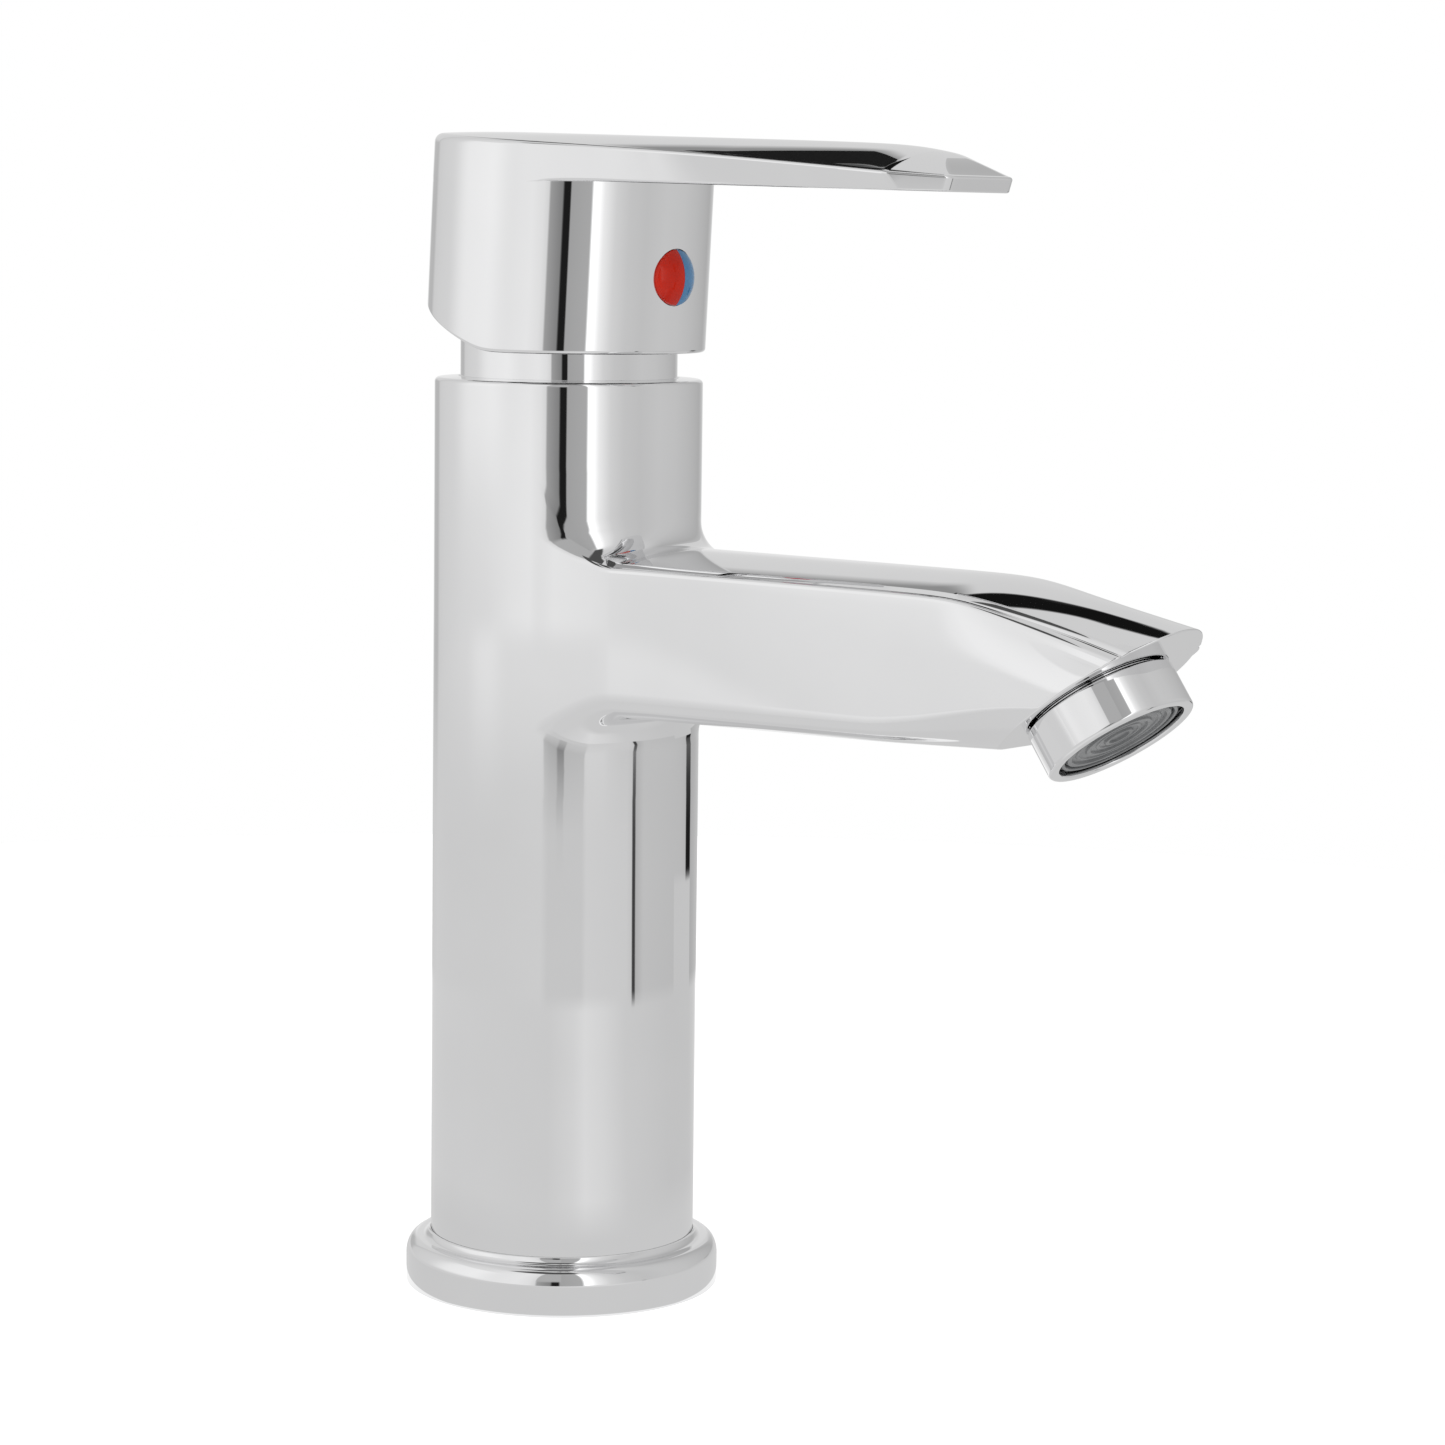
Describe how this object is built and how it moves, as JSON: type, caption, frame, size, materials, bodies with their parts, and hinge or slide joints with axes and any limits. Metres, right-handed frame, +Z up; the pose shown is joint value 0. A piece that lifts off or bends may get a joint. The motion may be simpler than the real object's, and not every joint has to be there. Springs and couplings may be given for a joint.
{
  "type": "single-lever basin mixer faucet",
  "caption": "Deck-mounted basin mixer: round column on a base ring, straight fixed spout with a slanted aerator, and a flat lever that lifts for flow and turns for temperature.",
  "frame": {"origin": "centre of the column's flat underside, which stands on the basin", "axes": "+Z up along the column, +X along the spout and the lever, +Y to the left of someone standing behind the column and looking along the spout"},
  "size_m": [0.1489, 0.0522, 0.1912],
  "materials": {
    "polished_chrome": "mirror-polished chrome plate",
    "plain_brass": "machined brass",
    "steel": "plain stainless steel",
    "black_rubber": "matt moulded rubber",
    "white_nylon": "moulded plastic",
    "grey_nylon": "moulded plastic",
    "alumina": "lapped ceramic",
    "red_acrylic": "glossy clear-coated red",
    "blue_acrylic": "glossy clear-coated blue"
  },
  "bodies": {
    "body": {"faucet_body": "polished_chrome", "base_ring": "polished_chrome", "base_gasket": "black_rubber", "cartridge_base": "white_nylon", "hot_inlet_seal": "black_rubber", "cold_inlet_seal": "black_rubber", "outlet_seal": "black_rubber", "disc_seal": "black_rubber", "fixed_ceramic_disc": "alumina", "cartridge_housing": "white_nylon", "cartridge_nut": "plain_brass", "cartridge_collar": "polished_chrome", "aerator_housing": "polished_chrome", "aerator_washer": "black_rubber", "aerator_core": "grey_nylon", "aerator_diffuser": "grey_nylon", "aerator_screen": "steel"},
    "swivel": {"stem_guide": "white_nylon", "pivot_pin": "steel"},
    "lever": {"handle": "polished_chrome", "handle_set_screw": "steel", "index_button_blue": "blue_acrylic", "index_button_red": "red_acrylic", "cartridge_stem": "plain_brass"},
    "disc": {"disc_carrier": "white_nylon", "moving_ceramic_disc": "alumina"}
  },
  "joints": [
    {"name": "temperature_swivel", "type": "hinge", "parent": "body", "child": "swivel", "pos_m": [0, 0, 0.15], "axis": [0, 0, 1], "range_deg": [-45, 45]},
    {"name": "lever_lift", "type": "hinge", "parent": "swivel", "child": "lever", "pos_m": [0, 0, 0.15], "axis": [0, -1, 0], "range_deg": [0, 25]},
    {"name": "disc_slide", "type": "slide", "parent": "swivel", "child": "disc", "axis": [1, 0, 0], "range_m": [0, 0.0044]}
  ],
  "couplings": [
    {"joint": "disc_slide", "follows": "lever_lift", "m_per_rad": 0.0099}
  ]
}
